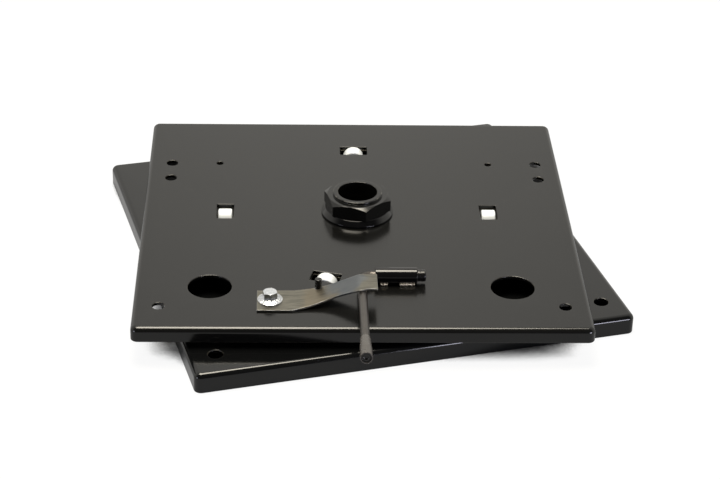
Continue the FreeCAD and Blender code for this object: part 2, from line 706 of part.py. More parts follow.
def all_parts():
    parts = {
        "lower_tray": lower_tray(),
        "pivot_tube": pivot_tube(),
        "pivot_flange": pivot_flange(),
        "pivot_tube_weld": pivot_tube_weld(),
        "pivot_flange_weld": pivot_flange_weld(),
        "spacer_collar": spacer_collar(),
        "slip_ring": slip_ring(),
        "pivot_nut": pivot_nut(),
        "upper_tray": upper_tray(),
        "pivot_bush": pivot_bush(),
        "lever_barrel": lever_barrel(),
        "lever_barrel_welds": barrel_welds(),
        "lever_rod": lever_rod(),
        "lever_end_cap": lever_end_cap(),
        "handle_socket": handle_socket(),
        "lever_end_screw": lever_end_screw(),
        "leaf_spring": leaf_spring(),
        "spring_bolt": spring_bolt(),
        "spring_weld_nut": spring_weld_nut(),
        "lock_pin": lock_pin(),
        "pin_guide": pin_guide()}
    for name, angle in zip(("right", "back", "left", "front"), ROLLER_ANGLES):
        parts["roller_" + name] = at_station(roller(), angle)
        parts["roller_axle_" + name] = at_station(roller_axle(), angle)
        parts["roller_cradle_" + name] = at_station(roller_cradle(), angle)
    return parts


os.makedirs("parts", exist_ok=True)
for node, shape in all_parts().items():
    if not shape.isValid():
        raise ValueError(node + " is not a valid shape")
    shape.exportStep("parts/" + node + ".step")
    print(node, len(shape.Solids), "solid", round(shape.Volume / 1000, 2), "cm3")
print("pin circle", round(LOCK_RADIUS, 2), "roller circle", round(ROLLER_CIRCLE, 2))
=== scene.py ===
# %% [markdown]
# # A swivel seat base
# Two pressed steel trays turn on each other about a hollow pivot. A seat bolts to the upper
# tray, and a hand lever at the front lifts a leaf spring and its lock pin. The solids come
# from the CAD model, in metres, with +Z along the swivel axis and z = 0 on the lower tray's
# top face. This lesson dresses them: each piece gets softened edges, the fine shapes that the
# CAD leaves plain, and a finish made of nodes.
# %% Load the frame
import math

import bmesh
import bpy
from mathutils import Matrix, Vector
from mathutils.geometry import delaunay_2d_cdt


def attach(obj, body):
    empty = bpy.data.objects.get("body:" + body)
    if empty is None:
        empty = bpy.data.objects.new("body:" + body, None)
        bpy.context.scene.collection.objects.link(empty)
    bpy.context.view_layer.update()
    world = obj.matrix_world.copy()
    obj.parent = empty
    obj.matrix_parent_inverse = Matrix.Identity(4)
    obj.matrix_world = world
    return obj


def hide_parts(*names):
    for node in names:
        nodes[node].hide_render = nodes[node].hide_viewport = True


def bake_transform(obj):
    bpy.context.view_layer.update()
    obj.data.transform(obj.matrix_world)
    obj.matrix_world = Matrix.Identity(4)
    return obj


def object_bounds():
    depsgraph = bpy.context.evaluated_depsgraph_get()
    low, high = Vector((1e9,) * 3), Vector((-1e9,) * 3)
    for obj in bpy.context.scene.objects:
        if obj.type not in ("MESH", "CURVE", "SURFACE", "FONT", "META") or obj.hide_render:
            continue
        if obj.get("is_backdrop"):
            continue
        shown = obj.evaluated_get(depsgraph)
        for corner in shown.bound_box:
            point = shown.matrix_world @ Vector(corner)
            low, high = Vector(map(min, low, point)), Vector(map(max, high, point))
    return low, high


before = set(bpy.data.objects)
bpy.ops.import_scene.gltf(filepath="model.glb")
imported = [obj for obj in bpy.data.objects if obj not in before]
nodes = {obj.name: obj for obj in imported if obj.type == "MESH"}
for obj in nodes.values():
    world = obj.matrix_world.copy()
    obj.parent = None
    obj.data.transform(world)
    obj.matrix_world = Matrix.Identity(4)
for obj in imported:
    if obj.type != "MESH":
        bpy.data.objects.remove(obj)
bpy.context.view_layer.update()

MM = 0.001

# %% [markdown]
# ## The camera
# The trays' straight edges and round holes fix the camera: a long lens, 30 degrees above the
# level and almost straight in front. Its axes are written as three directions, because a
# rotation read from the picture is easier to check that way than as angles.
# %% Place the camera
camera_data = bpy.data.cameras.new("photo_camera")
camera_data.sensor_width = 36.0
camera_data.lens = 106.136
camera_data.clip_end = 50.0
camera = bpy.data.objects.new("photo_camera", camera_data)
bpy.context.scene.collection.objects.link(camera)
bpy.context.scene.camera = camera
camera_right = Vector((0.9992794, -0.0304853, 0.0226129))
camera_up = Vector((-0.004386, 0.499025, 0.8665765))
camera_back = Vector((-0.0377022, -0.8660512, 0.4985317))
camera_place = Vector((-0.072557, -1.746094, 0.993824))
axes = Matrix((camera_right, camera_up, camera_back)).transposed().to_4x4()
camera.matrix_world = Matrix.Translation(camera_place) @ axes
print("camera is", round(camera_place.length, 3), "m from the pivot")

# %% [markdown]
# ## A shorthand for node trees
# Every finish, light and repeated shape below is a node tree. One helper adds a node, sets its
# properties and fills its inputs with numbers or with other nodes' outputs, so that each tree
# reads like a recipe.
# %% Write the node helpers
def put(tree, kind, inputs=None, **settings):
    """Adds a node to a tree and fills its inputs with values or with other sockets."""
    node = tree.nodes.new(kind)
    for key, value in settings.items():
        setattr(node, key, value)
    for name, value in (inputs or {}).items():
        if isinstance(value, bpy.types.NodeSocket):
            tree.links.new(value, node.inputs[name])
        else:
            node.inputs[name].default_value = value
    return node


def emptied(owner):
    """The node tree of a world or a material, with nothing in it."""
    owner.use_nodes = True
    owner.node_tree.nodes.clear()
    return owner.node_tree


def result(node, name=0):
    return node.outputs[name]


def calc(tree, operation, *values):
    """One step of arithmetic on numbers or sockets."""
    return result(put(tree, "ShaderNodeMath", dict(enumerate(values)), operation=operation))


# %% [markdown]
# ## Stage and light
# Black paint shows little colour of its own. What we see in it is the room: at this slant a
# paint film mirrors about a tenth of the light that meets it, so a white room behind the
# object makes its top dark grey. The sky here is white behind and at the sides and dim in
# front, which gives the folded edges their dark band. One soft lamp overhead draws the thin
# bright line above that band, and two small lamps low in front light the skirts a little.
# %% Light the stage
world = bpy.data.worlds.new("studio")
bpy.context.scene.world = world
tree = emptied(world)
direction = put(tree, "ShaderNodeTexCoord")
toward_front = put(tree, "ShaderNodeVectorMath", {0: result(direction, "Generated"), 1: (0.0, -0.9, 0.44)},
                   operation="DOT_PRODUCT")
room = put(tree, "ShaderNodeMapRange", {
    "Value": result(toward_front, "Value"), "From Min": 0.05, "From Max": 0.65, "To Min": 1.0,
    "To Max": 0.08}, interpolation_type="SMOOTHSTEP")
sideways = put(tree, "ShaderNodeSeparateXYZ", {0: result(direction, "Generated")})
distance = calc(tree, "ABSOLUTE", calc(tree, "SUBTRACT", result(sideways, "X"), 0.03))
dimmer = put(tree, "ShaderNodeMapRange", {
    "Value": distance, "From Min": 0.03, "From Max": 0.12, "To Min": 1.0, "To Max": 0.86})
tint = put(tree, "ShaderNodeMix", {
    "Factor": calc(tree, "MULTIPLY", result(room), result(dimmer)),
    "A": (0.0, 0.0, 0.0, 1.0), "B": (1.0, 0.975, 0.91, 1.0)}, data_type="RGBA")
room_light = put(tree, "ShaderNodeBackground", {"Color": result(tint, "Result")})
white = put(tree, "ShaderNodeBackground", {"Color": (1.0, 1.0, 1.0, 1.0), "Strength": 1.0})
seen_directly = result(put(tree, "ShaderNodeLightPath"), "Is Camera Ray")
chosen = put(tree, "ShaderNodeMixShader", {0: seen_directly, 1: result(room_light), 2: result(white)})
put(tree, "ShaderNodeOutputWorld", {"Surface": result(chosen)})


def soft_lamp(name, place, target, size, watts, colour):
    data = bpy.data.lights.new(name, "AREA")
    data.shape = "RECTANGLE"
    data.size, data.size_y = size
    data.energy = watts
    data.color = colour
    lamp = bpy.data.objects.new(name, data)
    lamp.location = place
    lamp.rotation_euler = (Vector(target) - Vector(place)).to_track_quat("-Z", "Y").to_euler()
    bpy.context.scene.collection.objects.link(lamp)


soft_lamp("overhead", (-0.15, 0.1, 1.7), (0, 0, 0), (1.0, 0.9), 46.0, (1.0, 0.93, 0.79))
soft_lamp("low_right", (0.95, -1.15, 0.14), (0.2, -0.1, 0), (0.6, 0.25), 8.0, (0.85, 0.85, 1.0))
soft_lamp("low_left", (-1.2, -0.9, 0.14), (-0.2, -0.1, 0), (0.35, 0.2), 2.5, (0.85, 0.85, 1.0))

# %% [markdown]
# ## The floor
# The floor looks white to the camera and pale in reflections because its material glows for
# those rays only, and it keeps a faint shadow. The mirrored floor is half as bright, as in the
# photograph's dark skirts. Light hardly reaches the floor below the trays, so the glow fades
# where they cover it, and sooner at the rear: otherwise it would shine up through the bolt
# holes.
# %% Lay the floor
stand_z = -18 * MM
bpy.ops.mesh.primitive_plane_add(size=12.0, location=(0.0, 0.0, stand_z))
floor = bpy.context.object
floor.name = "floor"
finish = bpy.data.materials.new("floor_white")
tree = emptied(finish)
under_cover = put(tree, "ShaderNodeAmbientOcclusion", {"Distance": 0.12}, samples=16)
across = put(tree, "ShaderNodeSeparateXYZ", {0: result(put(tree, "ShaderNodeTexCoord"), "Object")})
rear_shade = put(tree, "ShaderNodeMapRange", {
    "Value": result(across, "Y"), "From Min": 0.03, "From Max": 0.10, "To Min": 0.0, "To Max": 0.24})
uncovered = calc(tree, "SUBTRACT", result(under_cover, "AO"), result(rear_shade))
rays = put(tree, "ShaderNodeLightPath")
mirrored = calc(tree, "MAXIMUM", result(rays, "Is Glossy Ray"), result(rays, "Is Transmission Ray"))
open_glow = put(tree, "ShaderNodeMapRange", {"Value": mirrored, "To Min": 0.93, "To Max": 0.45})
glow_level = put(tree, "ShaderNodeMapRange", {
    "Value": uncovered, "From Min": 0.17, "From Max": 0.34, "To Min": 0.0,
    "To Max": result(open_glow)}, interpolation_type="SMOOTHSTEP")
glow = put(tree, "ShaderNodeEmission", {"Strength": result(glow_level)})
shaded = put(tree, "ShaderNodeBsdfDiffuse", {"Color": (0.07, 0.07, 0.07, 1.0)})
shown = put(tree, "ShaderNodeAddShader", {0: result(shaded), 1: result(glow)})
matt = put(tree, "ShaderNodeBsdfDiffuse", {"Color": (0.16, 0.16, 0.16, 1.0)})
seen = calc(tree, "MAXIMUM", result(rays, "Is Camera Ray"), mirrored)
chosen = put(tree, "ShaderNodeMixShader", {0: seen, 1: result(matt), 2: result(shown)})
put(tree, "ShaderNodeOutputMaterial", {"Surface": result(chosen)})
floor.data.materials.append(finish)
floor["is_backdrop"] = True
bpy.context.scene.view_settings.view_transform = "Standard"
print("floor at", stand_z, "m")

# %% [markdown]
# ## Effects that the finishes share
# Real surfaces are never one flat colour. Four effects cover this object, each a node group
# with its own sizes in metres:
#
# - sprayed_skin: the fine ripple of sprayed paint, and the long waves of thin sheet under it.
# - edge_wear: where the surface turns sharply, the finish is thin. The meshes below carry an
#   "edge" value for it.
# - settled_dust: pale specks on faces that look up.
# - drawn_grain: long fine lines, stretched along one direction by three scale numbers.
# %% Build the shared groups
def shader_group(name, inputs, outputs):
    """An empty group with float or vector inputs and float outputs, and its two end nodes."""
    tree = bpy.data.node_groups.new(name, "ShaderNodeTree")
    for label, value in inputs.items():
        kind = "NodeSocketVector" if isinstance(value, tuple) else "NodeSocketFloat"
        tree.interface.new_socket(label, in_out="INPUT", socket_type=kind).default_value = value
    for label in outputs:
        tree.interface.new_socket(label, in_out="OUTPUT", socket_type="NodeSocketFloat")
    return tree, tree.nodes.new("NodeGroupInput").outputs, tree.nodes.new("NodeGroupOutput")


def noise(tree, where, size, detail=2.0):
    """Noise whose lumps are about as wide as size, in metres."""
    scale = calc(tree, "DIVIDE", 1.0, size)
    return result(put(tree, "ShaderNodeTexNoise", {
        "Vector": where, "Scale": scale, "Detail": detail, "Roughness": 0.5}))


def times(tree, a, b):
    return calc(tree, "MULTIPLY", a, b)


def plus(tree, a, b):
    return calc(tree, "ADD", a, b)


def ramp(tree, value, low, high, to_low=0.0, to_high=1.0):
    return result(put(tree, "ShaderNodeMapRange", {
        "Value": value, "From Min": low, "From Max": high, "To Min": to_low, "To Max": to_high},
        interpolation_type="SMOOTHSTEP"))


sprayed_skin, given, leave = shader_group(
    "sprayed_skin", {"Peel Size": 0.0014, "Peel Depth": 1.2e-6, "Wave Size": 0.055, "Wave Depth": 2.5e-5},
    ("Height", "Mottle"))
where = result(put(sprayed_skin, "ShaderNodeTexCoord"), "Object")
peel = times(sprayed_skin, noise(sprayed_skin, where, given["Peel Size"], 1.0), given["Peel Depth"])
wave = times(sprayed_skin, noise(sprayed_skin, where, given["Wave Size"], 1.0), given["Wave Depth"])
sprayed_skin.links.new(plus(sprayed_skin, peel, wave), leave.inputs["Height"])
patches = noise(sprayed_skin, where, given["Wave Size"], 5.0)
sprayed_skin.links.new(ramp(sprayed_skin, patches, 0.3, 0.7), leave.inputs["Mottle"])

edge_wear, given, leave = shader_group("edge_wear", {"Start": 0.35, "Break Size": 0.004}, ("Wear",))
where = result(put(edge_wear, "ShaderNodeTexCoord"), "Object")
turn = result(put(edge_wear, "ShaderNodeAttribute", attribute_name="edge"), "Fac")
uneven = ramp(edge_wear, noise(edge_wear, where, given["Break Size"], 4.0), 0.3, 0.7, -0.25, 0.25)
worn = put(edge_wear, "ShaderNodeMapRange", {
    "Value": plus(edge_wear, turn, uneven), "From Min": given["Start"], "From Max": 1.0})
edge_wear.links.new(result(worn), leave.inputs["Wear"])

settled_dust, given, leave = shader_group(
    "settled_dust", {"Speck Size": 0.0012, "Cover": 0.3}, ("Dust",))
coords = put(settled_dust, "ShaderNodeTexCoord")
facing = put(settled_dust, "ShaderNodeSeparateXYZ", {0: result(coords, "Normal")})
upward = ramp(settled_dust, result(facing, "Z"), 0.5, 0.95)
specks = ramp(settled_dust, noise(settled_dust, result(coords, "Object"), given["Speck Size"]), 0.62, 0.78)
settled_dust.links.new(times(settled_dust, times(settled_dust, upward, specks), given["Cover"]),
                       leave.inputs["Dust"])

drawn_grain, given, leave = shader_group(
    "drawn_grain", {"Stretch": (60.0, 1500.0, 1500.0), "Depth": 2e-6}, ("Height", "Streak"))
where = put(drawn_grain, "ShaderNodeVectorMath", {
    0: result(put(drawn_grain, "ShaderNodeTexCoord"), "Object"), 1: given["Stretch"]}, operation="MULTIPLY")
streak = result(put(drawn_grain, "ShaderNodeTexNoise", {
    "Vector": result(where), "Scale": 1.0, "Detail": 3.0, "Roughness": 0.6}))
drawn_grain.links.new(times(drawn_grain, streak, given["Depth"]), leave.inputs["Height"])
drawn_grain.links.new(ramp(drawn_grain, streak, 0.3, 0.7), leave.inputs["Streak"])
print("groups:", [group.name for group in bpy.data.node_groups])

# %% [markdown]
# ## Painted and plastic finishes
# A finish starts from its shader with the plain numbers set on its own sockets. The groups
# then vary the colour, the roughness and the height. Black paint with a white room around it
# needs a very dark base, and the dust and the thin edges are only a little lighter. The black
# oxide of the nut and the tube is made this way too.
# %% Write the painted finish
def shader_of(name, metallic=0.0):
    """A new material, its tree and its shader."""
    material = bpy.data.materials.new(name)
    material.use_nodes = True
    shader = material.node_tree.nodes["Principled BSDF"]
    shader.inputs["Metallic"].default_value = metallic
    return material, material.node_tree, shader


def placed(tree, group, values=None):
    """The outputs of a shared group, placed with this material's own values."""
    node = put(tree, "ShaderNodeGroup", node_tree=group)
    for name, value in (values or {}).items():
        node.inputs[name].default_value = value
    return node.outputs


def blended(tree, factor, low, high):
    """One colour fading into another."""
    sides = {}
    for side, colour in (("A", low), ("B", high)):
        sides[side] = (*colour, 1.0) if isinstance(colour, tuple) else colour
    return result(put(tree, "ShaderNodeMix", {"Factor": factor, **sides}, data_type="RGBA"), "Result")


def raise_surface(tree, shader, height):
    bump = put(tree, "ShaderNodeBump", {"Height": height, "Distance": 1.0, "Strength": 1.0})
    tree.links.new(result(bump), shader.inputs["Normal"])


def painted(name, colour, worn_colour, roughness, skin=None, dust=0.25, wear_from=0.35):
    """Sprayed paint or moulded plastic with dust on top and thin edges."""
    material, tree, shader = shader_of(name)
    shader.inputs["Specular IOR Level"].default_value = 0.44
    film = placed(tree, sprayed_skin, skin)
    wear = placed(tree, edge_wear, {"Start": wear_from})["Wear"]
    specks = placed(tree, settled_dust, {"Cover": dust})["Dust"]
    lighter = tuple(1.08 * c for c in colour)
    base = blended(tree, film["Mottle"], colour, lighter)
    base = blended(tree, wear, base, worn_colour)
    base = blended(tree, specks, base, (0.16, 0.155, 0.14))
    tree.links.new(base, shader.inputs["Base Color"])
    low, high = roughness
    rough = plus(tree, ramp(tree, film["Mottle"], 0.0, 1.0, low, high), times(tree, specks, 0.4))
    tree.links.new(rough, shader.inputs["Roughness"])
    raise_surface(tree, shader, film["Height"])
    return material


tray_paint = painted("tray_paint", (0.0038, 0.0038, 0.0036), (0.04, 0.037, 0.03), (0.165, 0.195),
                     {"Peel Depth": 3.0e-7, "Wave Depth": 6.0e-6}, dust=0.03, wear_from=0.5)
# The lower tray's paint is the tray paint drawn darker and bluer, a painted shade for its place under the upper
# tray. It is also glossier.
shaded_lower_paint = painted("shaded_lower_paint", (0.0030, 0.0032, 0.0034), (0.04, 0.037, 0.03), (0.09, 0.12),
                      {"Peel Depth": 2.0e-7, "Wave Depth": 5.0e-6}, dust=0.02, wear_from=0.5)
pivot_paint = painted("pivot_paint", (0.012, 0.012, 0.012), (0.09, 0.09, 0.085), (0.22, 0.30))
barrel_paint = painted("barrel_paint", (0.0025, 0.0025, 0.0028), (0.16, 0.15, 0.13), (0.09, 0.14),
                       {"Peel Depth": 2.0e-7, "Wave Size": 0.012, "Wave Depth": 1.5e-6}, dust=0.05,
                       wear_from=0.6)
oxide_black = painted("oxide_black", (0.0035, 0.0035, 0.0033), (0.11, 0.105, 0.09), (0.15, 0.20),
                      {"Peel Size": 0.0006, "Peel Depth": 6.0e-7, "Wave Size": 0.01, "Wave Depth": 4.0e-6},
                      dust=0.05, wear_from=0.4)
slip_black = painted("slip_black", (0.002, 0.002, 0.0024), (0.01, 0.01, 0.01), (0.07, 0.11),
                     {"Wave Size": 0.015, "Wave Depth": 4.0e-6, "Peel Depth": 2.0e-7}, dust=0.08, wear_from=0.9)
black_plastic = painted("black_plastic", (0.004, 0.004, 0.0045), (0.03, 0.03, 0.03), (0.22, 0.3),
                        {"Peel Size": 0.0006, "Peel Depth": 2.0e-6, "Wave Size": 0.009,
                         "Wave Depth": 4.0e-6})
ferrule_brown = painted("ferrule_brown", (0.055, 0.050, 0.046), (0.12, 0.11, 0.10), (0.24, 0.32),
                        {"Peel Size": 0.0006, "Peel Depth": 1.0e-6, "Wave Size": 0.009,
                         "Wave Depth": 4.0e-6}, dust=0.05)
white_nylon = painted("white_nylon", (0.63, 0.66, 0.69), (0.72, 0.74, 0.76), (0.32, 0.42),
                      {"Peel Size": 0.0005, "Peel Depth": 1.5e-6, "Wave Size": 0.006,
                       "Wave Depth": 6.0e-6}, dust=0.1)
print("painted finishes:", len(bpy.data.materials) - 1)

# %% [markdown]
# ## Metal finishes
# The metals share one recipe too: a metallic shader whose grain runs along the piece, with a
# brighter edge. Plated parts are bright and patchy, and drawn bar is brown-grey with long
# lines. The zinc under the tray is drawn nearly black, a painted shade. The black pin takes
# the same recipe with nothing metallic in it.
# %% Write the metal finish
def metal(name, colour, edge_colour, roughness, stretch, depth=2e-6, metallic=1.0, wear_from=0.3):
    material, tree, shader = shader_of(name, metallic)
    grain = placed(tree, drawn_grain, {"Stretch": stretch, "Depth": depth})
    wear = placed(tree, edge_wear, {"Start": wear_from})["Wear"]
    patch = placed(tree, sprayed_skin, {"Wave Size": 0.008})["Mottle"]
    darker = tuple(0.72 * c for c in colour)
    base = blended(tree, grain["Streak"], darker, colour)
    base = blended(tree, times(tree, patch, 0.35), base, tuple(0.85 * c for c in colour))
    base = blended(tree, wear, base, edge_colour)
    tree.links.new(base, shader.inputs["Base Color"])
    low, high = roughness
    tree.links.new(ramp(tree, plus(tree, grain["Streak"], patch), 0.0, 2.0, low, high),
                   shader.inputs["Roughness"])
    raise_surface(tree, shader, grain["Height"])
    return material


EVEN = (700.0, 700.0, 700.0)
bright_zinc = metal("bright_zinc", (0.84, 0.86, 0.89), (0.92, 0.93, 0.95), (0.10, 0.20), EVEN, 1.0e-6)
# Zinc drawn nearly black: a painted shade for the cradles, axles and pin guide under the tray.
shade_darkened_zinc = metal("shade_darkened_zinc", (0.035, 0.034, 0.031), (0.10, 0.092, 0.078), (0.35, 0.5), EVEN)
lever_steel = metal("lever_steel", (0.115, 0.104, 0.095), (0.20, 0.18, 0.16), (0.28, 0.38),
                    (900.0, 40.0, 900.0), 1.2e-6)
pin_black = metal("pin_black", (0.004, 0.004, 0.004), (0.04, 0.04, 0.04), (0.16, 0.24),
                  (1500.0, 1500.0, 60.0), 1e-6, metallic=0.0)
weld_steel = metal("weld_steel", (0.50, 0.44, 0.33), (0.95, 0.88, 0.72), (0.18, 0.34), EVEN, 3e-6,
                   metallic=0.85)
print("finishes so far:", len(bpy.data.materials) - 1)

# %% [markdown]
# ## Making meshes
# Sheet steel and turned parts need true rounding, because a thin bright line runs along every
# rounded edge in the light. The helpers below work in millimetres, like a drawing, and the
# last one turns the result into metres. It also records how sharply the surface turns on the
# narrow faces of each rounded edge, which is what the edge_wear group reads, and weights the
# normals so that flat faces stay flat beside their rounded edges.
# %% Write the mesh helpers
NARROW = 0.4


def add_ring(maker, points):
    return [maker.verts.new(point) for point in points]


def join_rings(maker, first, second):
    """Faces between two rings of equal length. A ring may also be a single pole."""
    count = max(len(first), len(second))
    for i in range(count):
        j = (i + 1) % count
        corners = [first[i % len(first)], first[j % len(first)],
                   second[j % len(second)], second[i % len(second)]]
        maker.faces.new(list(dict.fromkeys(corners)))


def evaluated_mesh(source):
    """The mesh that an object's modifiers make, as plain data, with the object removed."""
    shown = source.evaluated_get(bpy.context.evaluated_depsgraph_get())
    mesh = bpy.data.meshes.new_from_object(shown)
    bpy.data.objects.remove(source)
    return mesh


def finished_mesh(maker, name, place=None, scale=MM, sharp=50.0):
    """Smooths a bmesh drawn in millimetres, marks its edges and gives it weighted normals."""
    maker.transform(Matrix.Scale(scale, 4))
    if place is not None:
        maker.transform(place)
    bmesh.ops.recalc_face_normals(maker, faces=maker.faces)
    edge_value = maker.loops.layers.float.new("edge")
    for face in maker.faces:
        width = 2 * face.calc_area() / face.calc_perimeter()
        for corner in face.loops:
            turns = [edge.calc_face_angle(0.0) for edge in corner.vert.link_edges]
            corner[edge_value] = min(1.0, max(turns) / math.radians(45.0)) if width < NARROW * MM else 0.0
    rough = bpy.data.meshes.new(name)
    maker.to_mesh(rough)
    maker.free()
    rough.shade_smooth()
    rough.set_sharp_from_angle(angle=math.radians(sharp))
    holder = bpy.data.objects.new(name, rough)
    bpy.context.scene.collection.objects.link(holder)
    weighted = holder.modifiers.new("weights", "WEIGHTED_NORMAL")
    weighted.keep_sharp = True
    weighted.weight = 100
    mesh = evaluated_mesh(holder)
    bpy.data.meshes.remove(rough)
    return mesh


def dress(name, mesh, material, body, slot, *replaced):
    """Makes a finished mesh a piece of the object."""
    piece = bpy.data.objects.new(name, mesh)
    bpy.context.scene.collection.objects.link(piece)
    mesh.materials.clear()
    mesh.materials.append(material)
    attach(piece, body)
    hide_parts(*replaced)
    print(name, len(mesh.polygons), "faces")
    return piece


# %% [markdown]
# ## The trays
# Each tray is one sheet with its four sides folded down. The real blank is bent round a 5 mm
# radius, so its section is drawn once as a list of insets and heights, and a rounded rectangle
# is laid at each of them. The flat faces between the fold and the holes are filled by
# triangulating the outline with the holes left open. Punched holes have a slightly rolled
# upper rim, which catches the light on its far side.
# %% Write the tray maker
SHEET = 3.0
CORNER = 6.5
FOLD = 5.0
RIM = 0.8


def rounded_rectangle(half_x, half_y, radius, steps=8):
    """Points round a rectangle with rounded corners, anticlockwise."""
    points = []
    for k, (side_x, side_y) in enumerate(((1, 1), (-1, 1), (-1, -1), (1, -1))):
        for i in range(steps + 1):
            a = math.radians(90 * (k + i / steps))
            points.append((side_x * (half_x - radius) + radius * math.cos(a),
                           side_y * (half_y - radius) + radius * math.sin(a)))
    return points


def round_hole(x, y, diameter, steps=64):
    """A hole as a function of how far its outline is grown."""
    def outline(grow):
        radius = diameter / 2 + grow
        turns = [math.tau * i / steps for i in range(steps)]
        return [(x + radius * math.cos(t), y + radius * math.sin(t)) for t in turns]
    return outline


def window(distance, angle, length, width):
    """A window across a radius, its length along the way the roller rolls."""
    def outline(grow):
        c, s = math.cos(angle), math.sin(angle)
        loop = rounded_rectangle(width / 2 + grow, length / 2 + grow, 0.5 + grow, 4)
        return [((distance + x) * c - y * s, (distance + x) * s + y * c) for x, y in loop]
    return outline


def fill_flat(maker, loops, flip):
    """Triangles between an outer ring of vertices and the rings of the holes in it."""
    rings = [v for loop in loops for v in loop]
    flat = [v.co.xy for v in rings]
    bounds, start = [], 0
    for loop in loops:
        bounds.append(list(range(start, start + len(loop))))
        start += len(loop)
    _, _, faces, origins, _, _ = delaunay_2d_cdt(flat, [], bounds, 2, 1e-6)
    for face in faces:
        corners = [rings[origins[i][0]] for i in face]
        maker.faces.new(corners[::-1] if flip else corners)


def pressed_tray(name, width, depth, middle, top, height, holes, turn=0.0):
    maker = bmesh.new()
    bend = [math.radians(90 * i / 8) for i in range(9)]
    lip = 0.5
    bottom = top - height
    section = [(FOLD - FOLD * math.sin(a), top - FOLD + FOLD * math.cos(a)) for a in bend]
    section += [(0.0, bottom + lip), (0.15, bottom + 0.15), (lip, bottom)]
    section += [(SHEET - lip, bottom), (SHEET - 0.15, bottom + 0.15), (SHEET, bottom + lip)]
    inner = FOLD - SHEET
    section += [(FOLD - inner * math.sin(a), top - FOLD + inner * math.cos(a)) for a in bend[::-1]]
    rings = []
    for inset, z in section:
        loop = rounded_rectangle(width / 2 - inset, depth / 2 - inset, CORNER - inset)
        rings.append(add_ring(maker, [(x + middle[0], y + middle[1], z) for x, y in loop]))
    for outer, next_ring in zip(rings, rings[1:]):
        join_rings(maker, outer, next_ring)
    above, beneath = [rings[0]], [rings[-1]]
    for hole in holes:
        wall = [(RIM - RIM * math.sin(a), top - RIM + RIM * math.cos(a))
                for a in (math.radians(30 * i) for i in range(4))]
        wall += [(0.0, top - SHEET + 0.3), (0.3, top - SHEET)]
        hole_rings = [add_ring(maker, [(x, y, z) for x, y in hole(grow)]) for grow, z in wall]
        for upper, lower in zip(hole_rings, hole_rings[1:]):
            join_rings(maker, upper, lower)
        above.append(hole_rings[0])
        beneath.append(hole_rings[-1])
    fill_flat(maker, above, False)
    fill_flat(maker, beneath, True)
    return finished_mesh(maker, name, Matrix.Rotation(math.radians(turn), 4, "Z"))


# %% Make the trays
PIN = (-38.6, -146.4)
BOLT = (-81.0, -162.8)
ROLLER_CIRCLE = 124.0
ROLLERS = {"right": 0.0, "back": math.pi / 2, "left": math.pi, "front": math.atan2(PIN[1], PIN[0])}
SEAT_HOLE, COVER_HOLE, ACCESS_HOLE, BASE_HOLE = 11.0, 6.5, 39.0, 13.0
PIN_HOLE, BOLT_HOLE = 6.9, 10.6
UPPER_BORE, LOWER_BORE = 50.24, 46.04
SEAT_ROWS = (-169.7, 96.3, 65.8)
upper_holes = [round_hole(side * 178.0, y, SEAT_HOLE) for side in (-1, 1) for y in SEAT_ROWS]
upper_holes += [round_hole(side * 131.5, SEAT_ROWS[1], COVER_HOLE) for side in (-1, 1)]
upper_holes += [round_hole(side * 134.4, -137.0, ACCESS_HOLE, 96) for side in (-1, 1)]
upper_holes += [round_hole(0.0, 0.0, UPPER_BORE, 96), round_hole(*PIN, PIN_HOLE, 32),
                round_hole(*BOLT, BOLT_HOLE, 48)]
upper_holes += [window(ROLLER_CIRCLE, angle, 26.5, 16.0) for angle in ROLLERS.values()]
upper = pressed_tray("upper_tray_sheet", 401.4, 392.4, (0.0, -11.3), 19.0, 13.5, upper_holes)
dress("upper_tray_sheet", upper, tray_paint, "upper_frame", "tray_paint", "upper_tray")

lower_holes = [round_hole(side * 177.0, y, BASE_HOLE) for side in (-1, 1) for y in (-179.25, 86.75)]
lower_holes += [round_hole(*PIN, PIN_HOLE, 32), round_hole(-PIN[0], -PIN[1], PIN_HOLE, 32)]
lower_holes += [round_hole(0.0, 0.0, LOWER_BORE, 96)]
lower = pressed_tray("lower_tray_sheet", 400.0, 393.5, (-1.3, -12.2), 0.0, 18.0, lower_holes, 14.3)
dress("lower_tray_sheet", lower, shaded_lower_paint, "lower_frame", "tray_paint", "lower_tray")

# %% [markdown]
# ## Turned parts
# The pivot's tube and ring, the lever's barrel and cap, and the lock pin are all turned on a
# lathe, so each is a section of (radius, height) corners, each corner with its own rounding,
# spun about an axis. Small grooves and lips are simply more corners in the list.
# %% Write the lathe
def rounded_section(corners, steps=4):
    """A closed section with each (radius, height, rounding) corner drawn as an arc."""
    points = []
    for i, (x, y, rounding) in enumerate(corners):
        here = Vector((x, y))
        if rounding == 0:
            points.append(here)
            continue
        back = (Vector(corners[i - 1][:2]) - here).normalized()
        ahead = (Vector(corners[(i + 1) % len(corners)][:2]) - here).normalized()
        half = back.angle(ahead) / 2
        centre = here + (back + ahead).normalized() * (rounding / math.sin(half))
        start = here + back * (rounding / math.tan(half)) - centre
        swing = start.angle_signed(here + ahead * (rounding / math.tan(half)) - centre)
        for k in range(steps + 1):
            points.append(centre + Matrix.Rotation(-swing * k / steps, 2) @ start)
    return points


def turned(name, corners, place=None, steps=96):
    """A part spun about Z. A corner at radius zero closes the part on its axis."""
    maker = bmesh.new()
    turns = [math.tau * i / steps for i in range(steps)]
    rings = []
    for r, z in rounded_section(corners):
        around = turns if r > 1e-6 else turns[:1]
        rings.append(add_ring(maker, [(r * math.cos(t), r * math.sin(t), z) for t in around]))
    for ring, next_ring in zip(rings, rings[1:]):
        if len(ring) + len(next_ring) > 2:
            join_rings(maker, ring, next_ring)
    if len(rings[0]) > 1 or len(rings[-1]) > 1:
        join_rings(maker, rings[-1], rings[0])
    return finished_mesh(maker, name, place)


